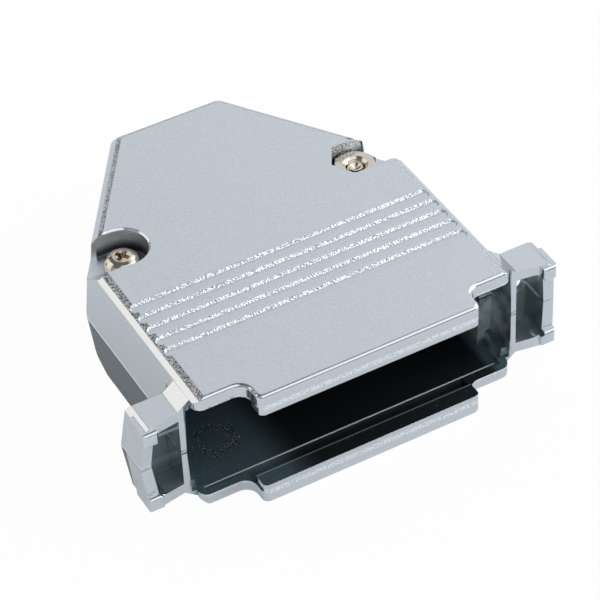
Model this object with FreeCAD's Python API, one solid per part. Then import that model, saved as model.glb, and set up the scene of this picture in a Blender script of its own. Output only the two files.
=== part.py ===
import FreeCAD, Part
import math
import os
from FreeCAD import Vector

os.makedirs("parts", exist_ok=True)

# Driving dimensions in mm. The hood is drawn with y = 0 at the front of its
# ears and z = 0 at the parting plane. At the end it is moved so that the
# middle of its underside is the origin.

# the connector that the hood takes: shell size 37
HOLE_PITCH = 63.5           # distance of the two flange holes
HOLE_D = 2.4                # for a 4-40 thread
FLANGE_H = 12.5
FLANGE_FIT = 0.05           # gap above and below the flange in the ears
LIP_LAP = 0.8               # the lips stand this far beyond the flange

# heights above the parting plane
EAR_ROOF = 1.75
BODY_RISE = 2.65            # top of the body over the ears
BEVEL_H = 0.85              # steep bevel round the top
BEVEL_W = 1.0
SOFT_H = 0.25               # shallow second bevel inside it
SOFT_W = 0.7
ROOF = 1.2                  # thickness of the top wall
SLOT_STEP = 0.35            # flange slot cut into the top wall
SCALLOP_RISE = 1.4          # opening of the cut-back ends over that of the lip

# plan of the body
SIDE_STEP = 1.05            # side wall inside the wall between mouth and ear
SIDE_NARROW = 0.2           # it leans in this much towards the rear
DRAFT = 0.95                # walls stand this much further out at the parting plane
SIDE_END = 33.0             # where the side turns into the tapered wall
SIDE_ROUND = 4.0
BACK_Y = 58.0
BACK_ROUND = 2.2
CORNER_STEPS = 3            # flats that make a rounded corner
BACK_HALF = 9.4             # half width of the rear face
SIDE_WALL = 1.0
TAPER_WALL = 1.6
WALL_FOOT = 0.3             # walls are this much thicker at the parting plane

# front edge: a middle lip between two cut-back ends
LIP_REACH = 6.0             # in front of the ears
LIP_SIDE = 7.9              # from the side wall to the end of the lip
LIP_DEEP = 2.75             # rim of the lip, front to back
SCALLOP_REACH = 1.85
SCALLOP_DEEP = 1.3
LIP_ROUND = 1.2             # convex corner of the lip
LIP_HOLLOW = 2.0            # concave corner beside it
SCALLOP_ROUND = 1.5
EDGE_ROUND = 0.6            # rounding of the front edge of the top
LEDGE_Y = 0.75              # front edge of the inner floor
MOUTH_DEEP = 5.5
MOUTH_DRAFT = 0.25
MOUTH_WALL = 0.6            # behind the corners of the mouth

# ears
SEPT_GAP = 2.3              # from the flange hole to the wall beside the mouth
SEPT_T = 0.85
EAR_WALL = 1.75
EAR_WALL_GAP = 0.15         # from the flange hole to the outer wall
EAR_BACK = 1.2
EAR_OUT_DRAFT = 0.7
EAR_BACK_DRAFT = 1.15
WINDOW_DRAFT = 0.65         # of the window's own side and back
EAR_FRONT_LEAN = 1.0        # the top plate leans forward at its outer end
EAR_BEVEL_H = 0.6
EAR_BEVEL_W = 1.0
EAR_ROUND = 1.5             # upper outer corner of the window
ROOT_R = 2.6                # hollow corner between ear and body
NUB_W = 2.4                 # small foot on the outer front corner
NUB_REACH = 1.6
NUB_LOW = 0.35              # under the roof of the ear
NUB_IN = 0.4                # inside the outer wall's foot
NUB_ROUND = 0.6

# grip grooves across the top
GROOVE_N = 5
GROOVE_REAR = 12.0          # rear wall of the last groove, before the side's end
GROOVE_PITCH = 2.7
GROOVE_W = 1.85
GROOVE_SLOPE = 0.35         # run of its sloping walls
GROOVE_DEEP = 0.42
GROOVE_SIDE = 0.85          # from the side wall to its round end

# case screws with their nuts, size 4-40
SCREW_IN = 6.2              # from the side wall to the screw
SCREW_BACK = 0.3            # behind the end of the side
POCKET_DEEP = 4.1
POCKET_GAP = 1.15           # round the head
POCKET_EDGE = 0.3           # bevel on the rim of the round pocket
NUT_GAP = 0.45              # round the nut
BOSS_WALL = 1.3
RAMP_IN = 3.3               # the near wall of a pocket falls as a ramp outside this
RAMP_FOOT = 0.35
RAMP_TOP = 0.75
CASE_SHANK = 2.84
CASE_PLAY = 0.46            # shank in the bosses
CASE_HEAD_D = 5.9
CASE_HEAD_H = 2.4
CASE_NUT_AF = 6.35
CASE_NUT_H = 2.4
CASE_SHORT = 0.4            # the screw ends this far inside its nut
CROSS_SHARE = 0.27          # cross recess, share of the head's diameter

# cable exit and the clamp behind it
EXIT_D = 11.0
CLAMP_BACK = 10.4           # from the rear face to the middle of the clamp
CLAMP_W = 4.6
CLAMP_NIP = 1.0             # arch radius is less than the exit's by this
CLAMP_T = 1.4
CLAMP_GAP = 1.0             # between the two saddles
CLAMP_EDGE = 2.6            # lug beyond its screw
M25_SHANK = 2.4
M25_PLAY = 0.3
M25_HEAD_D = 4.7
M25_HEAD_H = 1.7
M25_NUT_AF = 5.0
M25_NUT_H = 2.0
M25_OVER = 1.4              # the screw stands out of its nut
NUT_PLAY = 0.1              # shank in its nut
RIB_T = 1.2
RIB_GAP = 0.25              # clamp between its ribs
RIB_OVER = 0.3              # ribs start above the nuts
SEAT_GAP = 0.1              # arch under its seat
SEAT_HALF = 1.5
BITE = 1.0                  # how far a joined feature reaches into its carrier
PAST = 8.0                  # how far a cutter runs past the faces it opens

# sizes that follow
HOLE_X = HOLE_PITCH / 2.0
EAR_X = HOLE_X + HOLE_D / 2.0 + EAR_WALL_GAP + EAR_WALL
SEPT_OUT = HOLE_X - HOLE_D / 2.0 - SEPT_GAP
SEPT_IN = SEPT_OUT - SEPT_T
SIDE_X = SEPT_IN - SIDE_STEP
LIP_X = SIDE_X - LIP_SIDE
EAR_OPEN = FLANGE_H / 2.0 + FLANGE_FIT
EAR_TOP = EAR_OPEN + EAR_ROOF
HALF_H = EAR_TOP + BODY_RISE
SOFT_Z = HALF_H - SOFT_H
BEVEL_Z = SOFT_Z - BEVEL_H
INNER_H = HALF_H - ROOF
SLOT_TOP = INNER_H + SLOT_STEP
LIP_OPEN = FLANGE_H / 2.0 + LIP_LAP
SCALLOP_OPEN = LIP_OPEN + SCALLOP_RISE
EAR_DEEP = MOUTH_DEEP + MOUTH_WALL
SCREW_X = SIDE_X - SCREW_IN
SCREW_Y = SIDE_END + SCREW_BACK
SEAT_Z = HALF_H - POCKET_DEEP
POCKET_R = CASE_HEAD_D / 2.0 + POCKET_GAP
CLAMP_Y = BACK_Y - CLAMP_BACK
CLAMP_R = EXIT_D / 2.0 - CLAMP_NIP
CLAMP_OUT = CLAMP_R + CLAMP_T
CLAMP_SEAT = CLAMP_GAP / 2.0 + CLAMP_T
CLAMP_SCREW_X = CLAMP_OUT + M25_NUT_AF / math.sqrt(3.0) + NUT_PLAY
ORIGIN = Vector(0, -(BACK_Y + DRAFT - LIP_REACH) / 2.0, HALF_H)


def move_edges(poly, dist):
    """Move every edge of a counter-clockwise polygon inwards by its own distance."""
    lines = []
    for i, (x1, y1) in enumerate(poly):
        x2, y2 = poly[(i + 1) % len(poly)]
        length = math.hypot(x2 - x1, y2 - y1)
        dx, dy = (x2 - x1) / length, (y2 - y1) / length
        lines.append((x1 - dy * dist[i], y1 + dx * dist[i], dx, dy))
    out = []
    for i, (qx, qy, qdx, qdy) in enumerate(lines):
        px, py, pdx, pdy = lines[i - 1]
        s = ((qx - px) * qdy - (qy - py) * qdx) / (pdx * qdy - pdy * qdx)
        out.append((px + s * pdx, py + s * pdy))
    return out


def round_corners(poly, radii):
    """Replace corners of a convex polygon by short flats round an arc, given each corner's radius."""
    out = []
    for i, (x, y) in enumerate(poly):
        if radii[i] == 0:
            out.append((x, y))
            continue
        (x0, y0), (x1, y1) = poly[i - 1], poly[(i + 1) % len(poly)]
        come = math.atan2(y - y0, x - x0)
        turn = (math.atan2(y1 - y, x1 - x) - come) % (2 * math.pi)
        cut = radii[i] * math.tan(turn / 2.0)
        cx = x - cut * math.cos(come) - radii[i] * math.sin(come)
        cy = y - cut * math.sin(come) + radii[i] * math.cos(come)
        reach = radii[i] / math.cos(turn / (2.0 * CORNER_STEPS))
        for k in range(CORNER_STEPS):
            angle = come - math.pi / 2.0 + turn * (k + 0.5) / CORNER_STEPS
            out.append((cx + reach * math.cos(angle), cy + reach * math.sin(angle)))
    return out


def outline(poly, z):
    return Part.makePolygon([Vector(x, y, z) for x, y in poly + poly[:1]])


def loft(low, low_poly, *levels):
    """Solid through polygons at rising heights: z, polygon, (z, polygon), ..."""
    wires = [outline(low_poly, low)] + [outline(p, z) for z, p in levels]
    return Part.makeLoft(wires, True, True)


def block(*levels):
    """Solid with flat faces through polygons whose edges run parallel: (z, polygon), ..."""
    (bottom, low), (top, high) = levels[0], levels[-1]
    faces = [Part.Face(outline(low[::-1], bottom)), Part.Face(outline(high, top))]
    for (z0, low), (z1, high) in zip(levels, levels[1:]):
        for i in range(len(low)):
            k = (i + 1) % len(low)
            quad = [Vector(*low[i], z0), Vector(*low[k], z0), Vector(*high[k], z1), Vector(*high[i], z1)]
            faces.append(Part.Face(Part.makePolygon(quad + quad[:1])))
    skin = Part.makeShell(faces)
    skin.sewShape()
    return Part.makeSolid(skin)


def prism(poly, z0, z1):
    return Part.Face(outline(poly, z0)).extrude(Vector(0, 0, z1 - z0))


def bar(yz_or_xz, start, length, axis):
    """Prism of a section drawn across the X or the Y axis."""
    if axis == "x":
        points = [Vector(start, a, b) for a, b in yz_or_xz]
        run = Vector(length, 0, 0)
    else:
        points = [Vector(a, start, b) for a, b in yz_or_xz]
        run = Vector(0, length, 0)
    return Part.Face(Part.makePolygon(points + points[:1])).extrude(run)


def box(x0, x1, y0, y1, z0, z1):
    return Part.makeBox(x1 - x0, y1 - y0, z1 - z0, Vector(x0, y0, z0))


def rod(r, h, x, y, z, axis=Vector(0, 0, 1)):
    return Part.makeCylinder(r, h, Vector(x, y, z), axis)


def both_sides(shape):
    """The shape and its mirror image on the other side of the hood."""
    return [shape, shape.mirror(Vector(0, 0, 0), Vector(1, 0, 0))]


def other_half(shape):
    """The same piece turned half a turn about the hood's length."""
    out = shape.copy()
    out.rotate(Vector(0, 0, 0), Vector(0, 1, 0), 180)
    return out


def hexagon(af, x, y):
    r = af / math.sqrt(3.0)
    return [(x + r * math.cos(math.radians(a)), y + r * math.sin(math.radians(a)))
            for a in range(0, 360, 60)]


def arc_edge(cx, cy, r, a0, a1, z):
    """Arc at height z with its two ends."""
    pts = [Vector(cx + r * math.cos(math.radians(a)), cy + r * math.sin(math.radians(a)), z)
           for a in (a0, (a0 + a1) / 2.0, a1)]
    return Part.Arc(*pts).toShape(), pts[0], pts[2]


# plan of the body at the foot of the bevel, edges in order:
# front, right side, right taper, back, left taper, left side
REAR_X = SIDE_X - SIDE_NARROW
PLAN = [(-SIDE_X, -LIP_REACH), (SIDE_X, -LIP_REACH), (REAR_X, SIDE_END),
        (BACK_HALF, BACK_Y), (-BACK_HALF, BACK_Y), (-REAR_X, SIDE_END)]
ROUND_PLAN = round_corners(PLAN, [0, 0, SIDE_ROUND, BACK_ROUND, BACK_ROUND, SIDE_ROUND])


def inside_plan(plan, dist):
    """The plan with all walls but the open front moved inwards."""
    return move_edges(plan, [0] + [dist] * (len(plan) - 1))


def scallop_cutter():
    """What is cut from the right end of the front, behind an S-shaped curve."""
    step = LIP_REACH - SCALLOP_REACH
    convex = min(LIP_ROUND, 0.4 * step)
    hollow = min(LIP_HOLLOW, 0.5 * step)
    z = -BITE
    e1, p1, p2 = arc_edge(LIP_X - convex, convex - LIP_REACH, convex, -90, 0, z)
    e2, p3, p4 = arc_edge(LIP_X + hollow, -SCALLOP_REACH - hollow, hollow, 180, 90, z)
    e3, p5, p6 = arc_edge(SIDE_X - SCALLOP_ROUND, SCALLOP_ROUND - SCALLOP_REACH,
                          SCALLOP_ROUND, -90, -10, z)
    far_x, far_y = SIDE_X + PAST, -LIP_REACH - PAST
    stops = [p6, Vector(far_x, p6.y, z), Vector(far_x, far_y, z), Vector(p1.x, far_y, z), p1]
    edges = [e1, Part.makeLine(p2, p3), e2, Part.makeLine(p4, p5), e3]
    edges += [Part.makeLine(a, b) for a, b in zip(stops, stops[1:])]
    return Part.Face(Part.Wire(Part.__sortEdges__(edges))).extrude(Vector(0, 0, HALF_H + 2 * BITE))


def body_outside():
    """Drafted block with a double bevel round the top and the S-shaped front edge."""
    steep = BEVEL_W * (HALF_H - BEVEL_Z) / BEVEL_H
    body = block((0.0, inside_plan(ROUND_PLAN, -DRAFT)), (BEVEL_Z, ROUND_PLAN),
                 (HALF_H, inside_plan(ROUND_PLAN, steep)))
    body = body.cut(both_sides(scallop_cutter()))
    front = [e for e in body.Edges
             if e.BoundBox.ZMin > HALF_H - 0.01 and e.BoundBox.YMax < EDGE_ROUND]
    body = body.makeFillet(EDGE_ROUND, front)
    crown = BEVEL_W + SOFT_W
    under_soft = block((-BITE, inside_plan(ROUND_PLAN, crown - (HALF_H + BITE) * SOFT_W / SOFT_H)),
                       (HALF_H, inside_plan(ROUND_PLAN, crown)))
    return body.common(under_soft)


def ear_outside():
    """Right ear: drafted box, hollow corner to the body, ramp to its bevel, and a foot."""
    def plan(x_out, y_front, y_back):
        return [(SIDE_X - 4 * BITE, 0), (SEPT_OUT, 0), (x_out, y_front), (x_out, y_back),
                (SIDE_X - 4 * BITE, y_back)]

    strip_z = EAR_TOP - EAR_BEVEL_H
    top_x = EAR_X - EAR_OUT_DRAFT
    top_y = EAR_DEEP - EAR_BACK_DRAFT
    ear = loft(0.0, plan(EAR_X, -0.05, EAR_DEEP),
               (strip_z, plan(top_x, -EAR_FRONT_LEAN, top_y)),
               (EAR_TOP, plan(top_x - EAR_BEVEL_W, 0.1 - EAR_FRONT_LEAN, top_y - 0.2)))

    def corner(z, y):
        x = SIDE_X + DRAFT * (1.0 - z / BEVEL_Z)
        curve, p1, p2 = arc_edge(x + ROOT_R, y + ROOT_R, ROOT_R, 270, 180, z)
        stops = [p2, Vector(x - BITE, p2.y, z), Vector(x - BITE, y - BITE, z),
                 Vector(p1.x, y - BITE, z), p1]
        return Part.Wire([curve] + [Part.makeLine(a, b) for a, b in zip(stops, stops[1:])])

    root = Part.makeLoft([corner(0.0, EAR_DEEP), corner(strip_z, top_y)], True, True)
    ramp = bar([(SIDE_X - BITE, EAR_OPEN), (SEPT_OUT, EAR_OPEN), (SEPT_OUT, EAR_TOP),
                (SIDE_X, BEVEL_Z), (SIDE_X - BITE, BEVEL_Z)], 0.0, top_y - 0.2, "y")
    nub_x = EAR_X - NUB_IN
    nub = box(nub_x - NUB_W, nub_x, -NUB_REACH, 0.5 * EAR_DEEP, EAR_OPEN - 2 * NUB_ROUND, EAR_TOP - NUB_LOW)
    nub = nub.makeFillet(NUB_ROUND, [e for e in nub.Edges if e.BoundBox.YMax < 0])
    return ear.fuse([root, ramp, nub])


def inner_space():
    """Everything that is hollow between the walls: mouth, flange slot and cavity."""
    def across(half, y0, y1):
        return [(-half, y0), (half, y0), (half, y1), (-half, y1)]

    front = -LIP_REACH - BITE
    mouth = loft(-BITE, across(SEPT_IN, front, MOUTH_DEEP),
                 (LIP_OPEN, across(SEPT_IN - MOUTH_DRAFT, front, MOUTH_DEEP)))
    end = box(LIP_X - 0.2, SEPT_IN - 0.3, front, LEDGE_Y, 0.0, SCALLOP_OPEN)
    slot = box(-LIP_X, LIP_X, LIP_DEEP - LIP_REACH, LEDGE_Y, 0.0, SLOT_TOP)
    slot_half = SIDE_X - SIDE_WALL - 0.2
    slot_end = box(-slot_half, slot_half, SCALLOP_DEEP - SCALLOP_REACH, LEDGE_Y, 0.0, SLOT_TOP)
    bay = loft(-BITE, across(SEPT_IN, LEDGE_Y, MOUTH_DEEP),
               (INNER_H, across(SIDE_X - 0.5 * SIDE_WALL, LEDGE_Y, MOUTH_DEEP)))
    wall_foot = TAPER_WALL + WALL_FOOT - DRAFT
    side_top = SIDE_WALL + 0.5
    front_in = MOUTH_DEEP - 0.5 + LIP_REACH
    foot = move_edges(PLAN, [front_in, SIDE_WALL, wall_foot, wall_foot, wall_foot, SIDE_WALL])
    top = move_edges(PLAN, [front_in, side_top, TAPER_WALL, TAPER_WALL, TAPER_WALL, side_top])
    cavity = block((-0.5, foot), (INNER_H, top))
    r = POCKET_R + BOSS_WALL
    boss = rod(r, HALF_H + BITE, SCREW_X, SCREW_Y, -BITE).fuse(
        box(SCREW_X, SIDE_X + PAST, SCREW_Y - r, SCREW_Y + r, -BITE, HALF_H))
    return [mouth, slot, slot_end, bay, cavity.cut(both_sides(boss))] + both_sides(end)


def ear_window():
    """Pocket for the end of the flange and its hole, in the right ear."""
    back = EAR_DEEP - EAR_BACK
    side = EAR_X - EAR_WALL
    lean = WINDOW_DRAFT / EAR_OPEN
    section = [(SEPT_OUT, -BITE), (side + lean * BITE, -BITE), (side - WINDOW_DRAFT, EAR_OPEN),
               (SEPT_OUT, EAR_OPEN)]
    window = bar(section, -PAST, PAST + back, "y")
    corner = [e for e in window.Edges
              if e.BoundBox.ZMin > EAR_OPEN - 0.01 and e.BoundBox.XMin > SEPT_OUT + BITE
              and e.BoundBox.YLength > PAST / 2.0]
    window = window.makeFillet(EAR_ROUND, corner)
    behind = bar([(back + lean * BITE, -BITE), (back + PAST, -BITE), (back + PAST, EAR_OPEN + BITE),
                  (back - lean * (EAR_OPEN + BITE), EAR_OPEN + BITE)], SEPT_OUT - BITE, PAST, "x")
    hole = rod(HOLE_D / 2.0, EAR_DEEP, HOLE_X, MOUTH_DEEP / 2.0, 0.0, Vector(0, 1, 0))
    return window.cut(behind).fuse(hole)


def screw_pockets():
    """Round pocket on the left, hexagonal one on the right, both open to the side."""
    x, y, z = SCREW_X, SCREW_Y, SEAT_Z
    out = x + PAST
    near = y - POCKET_R
    ramp = bar([(near - BITE, z - BITE), (y + RAMP_FOOT, z - BITE), (y + RAMP_FOOT, z),
                (near, HALF_H - RAMP_TOP), (near - BITE, HALF_H - RAMP_TOP)],
               x + RAMP_IN, PAST, "x")
    right_ramp, left_ramp = both_sides(ramp)
    head = rod(POCKET_R, PAST, -x, y, z).fuse(box(-out, -x, near, y + POCKET_R, z, z + PAST))
    rim = Part.makeCone(POCKET_R, POCKET_R + 2 * POCKET_EDGE, 2 * POCKET_EDGE, Vector(-x, y, HALF_H - POCKET_EDGE))
    nut_half = CASE_NUT_AF / 2.0 + NUT_GAP
    seat = prism(hexagon(2 * nut_half, x, y), z, z + PAST)
    way_out = box(x, out, y - nut_half, y + nut_half, z, z + PAST).cut(right_ramp)
    bore = (CASE_SHANK + CASE_PLAY) / 2.0
    return [head.cut(left_ramp), rim, seat, way_out] + both_sides(rod(bore, HALF_H, x, y, -BITE))


def grip_grooves():
    """Row of grooves across the top with sloping walls and round ends."""
    top_r = GROOVE_W / 2.0
    low_r = top_r - GROOVE_SLOPE
    end = SIDE_X - GROOVE_SIDE - top_r
    z = HALF_H - GROOVE_DEEP
    over = top_r + GROOVE_SLOPE
    grooves = []
    for i in range(GROOVE_N):
        y = SIDE_END - GROOVE_REAR - top_r - i * GROOVE_PITCH
        middle = bar([(y - low_r, z), (y + low_r, z), (y + over, HALF_H + GROOVE_DEEP),
                      (y - over, HALF_H + GROOVE_DEEP)], -end, 2 * end, "x")
        cone = Part.makeCone(low_r, over, 2 * GROOVE_DEEP, Vector(end, y, z))
        grooves.append(middle.fuse(both_sides(cone)))
    return grooves


def clamp_holder():
    """Two ribs that keep the clamp from sliding, and the seat over its arch."""
    off = CLAMP_W / 2.0 + RIB_GAP
    foot = CLAMP_SEAT + M25_NUT_H + RIB_OVER
    room = block((0.0, inside_plan(PLAN, BITE)), (INNER_H + 0.5 * ROOF, inside_plan(PLAN, BITE)))
    passage = rod(CLAMP_R + RIB_GAP, 2 * off + 4 * RIB_T, 0, CLAMP_Y - off - 2 * RIB_T, 0, Vector(0, 1, 0))
    ribs = [box(-SIDE_X, SIDE_X, y, y + RIB_T, foot, HALF_H)
            for y in (CLAMP_Y - off - RIB_T, CLAMP_Y + off)]
    seat = box(-SEAT_HALF, SEAT_HALF, CLAMP_Y - off - BITE, CLAMP_Y + off + BITE,
               CLAMP_OUT + SEAT_GAP, HALF_H)
    return [s.cut(passage).common(room) for s in ribs + [seat]]


def half_shell():
    shell = body_outside().fuse(both_sides(ear_outside()))
    shell = shell.cut(inner_space() + both_sides(ear_window()))
    shell = shell.cut(screw_pockets() + grip_grooves())
    exit_hole = rod(EXIT_D / 2.0, CLAMP_BACK, 0, BACK_Y - CLAMP_BACK / 2.0, 0, Vector(0, 1, 0))
    shell = shell.cut(exit_hole).fuse(clamp_holder())
    return shell.removeSplitter().Solids[0]


def turned(section):
    """Solid of revolution of an (r, z) section about Z."""
    points = [Vector(r, 0, z) for r, z in section + section[:1]]
    return Part.Face(Part.makePolygon(points)).revolve(Vector(0, 0, 0), Vector(0, 0, 1), 360)


def pan_screw(shank, head_d, head_h, length):
    """Pan head at z 0 to head_h with a cross recess, plain shank down to -length."""
    head_r = head_d / 2.0
    screw = turned([(0, -length), (shank / 2.0, -length), (shank / 2.0, 0), (head_r, 0),
                    (head_r, 0.5 * head_h), (0.85 * head_r, 0.86 * head_h), (0.5 * head_r, head_h), (0, head_h)])
    reach = CROSS_SHARE * head_d
    depth = 0.6 * head_h
    width = 0.26 * shank
    arms = []
    for turn in (35, 125):
        arm = bar([(-reach, head_h + depth), (reach, head_h + depth), (0.5 * reach, head_h - depth),
                   (-0.5 * reach, head_h - depth)], -width / 2.0, width, "y")
        arm.rotate(Vector(0, 0, 0), Vector(0, 0, 1), turn)
        arms.append(arm)
    return screw.cut(arms)


def hex_nut(af, height, shank):
    """Nut at z 0 to height, clear of the shank in it."""
    return prism(hexagon(af, 0, 0), 0, height).cut(rod(shank / 2.0 + NUT_PLAY, height, 0, 0, 0))


def clamp_saddle():
    """Bent strip over the cable: an arch between two drilled lugs."""
    y0 = CLAMP_Y - CLAMP_W / 2.0
    z0 = CLAMP_GAP / 2.0
    lug = CLAMP_SCREW_X + CLAMP_EDGE
    along = Vector(0, 1, 0)
    arch = rod(CLAMP_OUT, CLAMP_W, 0, y0, 0, along).common(
        box(-lug, lug, y0, y0 + CLAMP_W, z0, CLAMP_OUT + BITE))
    strip = box(-lug, lug, y0, y0 + CLAMP_W, z0, z0 + CLAMP_T).fuse(arch)
    hole = rod((M25_SHANK + M25_PLAY) / 2.0, 2 * CLAMP_T, CLAMP_SCREW_X, CLAMP_Y, 0)
    return strip.cut([rod(CLAMP_R, CLAMP_W, 0, y0, 0, along)] + both_sides(hole)).removeSplitter()


def put(shape, x, y, z, upside_down=False):
    out = shape.copy()
    if upside_down:
        out.rotate(Vector(0, 0, 0), Vector(0, 1, 0), 180)
    out.translate(Vector(x, y, z))
    return out


shell = half_shell()
saddle = clamp_saddle()
case_screw = pan_screw(CASE_SHANK, CASE_HEAD_D, CASE_HEAD_H, 2 * SEAT_Z + CASE_NUT_H - CASE_SHORT)
case_nut = hex_nut(CASE_NUT_AF, CASE_NUT_H, CASE_SHANK)
clamp_screw = pan_screw(M25_SHANK, M25_HEAD_D, M25_HEAD_H, 2 * CLAMP_SEAT + M25_NUT_H + M25_OVER)
clamp_nut = hex_nut(M25_NUT_AF, M25_NUT_H, M25_SHANK)

nodes = {
    "upper_shell": shell,
    "lower_shell": other_half(shell),
    "case_screw_left": put(case_screw, -SCREW_X, SCREW_Y, SEAT_Z),
    "case_nut_left": put(case_nut, -SCREW_X, SCREW_Y, -SEAT_Z, True),
    "case_screw_right": put(case_screw, SCREW_X, SCREW_Y, -SEAT_Z, True),
    "case_nut_right": put(case_nut, SCREW_X, SCREW_Y, SEAT_Z),
    "cable_clamp_upper": saddle,
    "cable_clamp_lower": other_half(saddle),
    "clamp_screw_left": put(clamp_screw, -CLAMP_SCREW_X, CLAMP_Y, CLAMP_SEAT),
    "clamp_nut_left": put(clamp_nut, -CLAMP_SCREW_X, CLAMP_Y, -CLAMP_SEAT, True),
    "clamp_screw_right": put(clamp_screw, CLAMP_SCREW_X, CLAMP_Y, CLAMP_SEAT),
    "clamp_nut_right": put(clamp_nut, CLAMP_SCREW_X, CLAMP_Y, -CLAMP_SEAT, True),
}

for name, shape in nodes.items():
    shape.translate(ORIGIN)
    b = shape.optimalBoundingBox(True, False)
    print(name, len(shape.Solids), shape.isValid(), "volume", round(shape.Volume, 1),
          "x", round(b.XMin, 2), round(b.XMax, 2), "y", round(b.YMin, 2), round(b.YMax, 2),
          "z", round(b.ZMin, 2), round(b.ZMax, 2))
    shape.exportStep("parts/" + name + ".step")
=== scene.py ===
import math

import bmesh
import bpy
from mathutils import Matrix, Vector


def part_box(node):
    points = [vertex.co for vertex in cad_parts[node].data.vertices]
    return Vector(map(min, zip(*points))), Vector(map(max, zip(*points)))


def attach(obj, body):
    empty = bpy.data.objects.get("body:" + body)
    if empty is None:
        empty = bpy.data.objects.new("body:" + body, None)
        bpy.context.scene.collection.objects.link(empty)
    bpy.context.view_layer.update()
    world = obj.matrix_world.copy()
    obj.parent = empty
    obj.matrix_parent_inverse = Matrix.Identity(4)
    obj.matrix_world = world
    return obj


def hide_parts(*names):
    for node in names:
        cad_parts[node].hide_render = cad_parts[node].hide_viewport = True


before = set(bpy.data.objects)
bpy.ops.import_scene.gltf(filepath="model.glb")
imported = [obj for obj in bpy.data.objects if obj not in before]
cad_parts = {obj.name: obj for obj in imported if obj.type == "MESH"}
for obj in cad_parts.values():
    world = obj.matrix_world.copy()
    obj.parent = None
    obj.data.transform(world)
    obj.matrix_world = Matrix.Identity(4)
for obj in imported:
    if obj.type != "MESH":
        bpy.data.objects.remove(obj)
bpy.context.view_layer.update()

# The two half shells are one ABS moulding used twice, plated with bright nickel
# inside and out, and screwed together face to face. The tool steel was textured
# on the broad faces and left smooth on lip, ears and pockets.
MM = 0.001
shell_low, shell_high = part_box("upper_shell")
PARTING = shell_low.z
HALF_HEIGHT = shell_high.z - shell_low.z
EAR_FRONT = shell_low.y + 6.0 * MM

# heights over the parting plane
FLASH_LINE = (0.42 * MM, 0.14 * MM)
GAP_LINE = (0.28 * MM, 0.1 * MM)
WINDOW_ROOF = 6.32 * MM
POCKET_FLOOR = 6.5 * MM
# where painted shade fades in at a pocket's foot, and painted glints high on its walls
POCKET_SHADE = (POCKET_FLOOR + 2.5 * MM, POCKET_FLOOR + 0.7 * MM)
POCKET_GLINT_BAND = (POCKET_FLOOR + 1.6 * MM, POCKET_FLOOR + 2.6 * MM)
LIP_RIDGE = 8.35 * MM
RIDGE_FADE = (0.6 * MM, 0.25 * MM)
SLOT_FLOOR = 9.62 * MM
ROOF_INSIDE = HALF_HEIGHT - 0.82 * MM
GROOVE_FLOOR = HALF_HEIGHT - 0.45 * MM
GROOVE_TOP = HALF_HEIGHT - 0.02 * MM

# distances from the middle plane, and from the axis of a case screw
DULL_FROM = (8.0 * MM, 15.0 * MM)
END_WALL = (23.3 * MM, 24.5 * MM)
LEDGE_HALF = 25.0 * MM
INNER_HALF = 27.38 * MM
EAR_WALL_OUTSIDE = 34.0 * MM
POCKET_REACH = 4.75 * MM
POCKET_AREA = 7.5 * MM

# places along the hood
MOUTH_RIM = EAR_FRONT - 5.9 * MM
RIM_EDGE = (EAR_FRONT - 3.5 * MM, EAR_FRONT - 3.2 * MM)
LIP_BACK = EAR_FRONT - 1.0 * MM
WINDOW_DEPTH = (EAR_FRONT + 0.2 * MM, EAR_FRONT + 2.2 * MM)
LEDGE = (EAR_FRONT + 0.6 * MM, EAR_FRONT + 0.95 * MM)
EAR_BACK = EAR_FRONT + 4.5 * MM

# two ejector pins of the tool, how far their worn rings stray from a circle and
# how they fade, as a ring of pits and painted glints, and a thin line
PIN_PLACE = (18.7 * MM, EAR_FRONT + 8.7 * MM)
PIN_RADIUS = 2.75 * MM
PIN_STRAY = 3.2 * MM
PIN_FADE = (1.1 * MM, 0.1 * MM)
PIN_LINE = (0.2 * MM, 0.05 * MM)

# the grain etched into the tool, really about 0.1 mm, and drawn coarser to show
GRAIN = 0.28 * MM

# lumps of nickel, really about 0.2 mm, and drawn coarser to show, and the levels
# of that noise between which the pits, the painted shade and each painted glint fade in
FLECK = 0.3 * MM
SHADE_SPOTS = (0.46, 0.58)
PITS = (0.52, 0.6)
GLINT_SPECKS = (0.43, 0.36)
STRAY_GLINTS = (0.71, 0.76)
RIDGE_GLINTS = (0.45, 0.5)
POCKET_GLINT_SPOTS = (0.4, 0.5)

# the slight unevenness of a plated moulding, and the size of the painted cloudy
# reflections on the mouth's end walls
ORANGE_PEEL = 0.9 * MM
REFLECTION_CLOUD = 3.5 * MM

# the bump's distance, and the heights of the relief in steps of it
BUMP_STEP = 0.03 * MM
GRAIN_RELIEF = (0.1, 3.0)
PEEL_RELIEF = 0.5
FLECK_RELIEF = 32.0
FLASH_RELIEF = 26.0

# the radius that moulding and plating give a sharp corner
SOFT_CORNER = 0.15 * MM


def srgb(text):
    """sRGB hex colour as linear RGBA."""
    channels = [int(text[i:i + 2], 16) / 255 for i in (1, 3, 5)]
    return [c / 12.92 if c <= 0.04045 else ((c + 0.055) / 1.055) ** 2.4 for c in channels] + [1.0]


def add(tree, kind, links=None, **settings):
    """Add a node. Settings are its properties, links its sockets with a value or another node's output."""
    node = tree.nodes.new(kind)
    for name, value in settings.items():
        setattr(node, name, value)
    for socket, value in (links or {}).items():
        if isinstance(value, bpy.types.NodeSocket):
            tree.links.new(value, node.inputs[socket])
        else:
            node.inputs[socket].default_value = value
    return node


def start_material(name):
    """A new material with its tree and its Principled shader."""
    material = bpy.data.materials.new(name)
    material.use_nodes = True
    tree = material.node_tree
    return material, tree, next(n for n in tree.nodes if n.type == "BSDF_PRINCIPLED")
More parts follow.
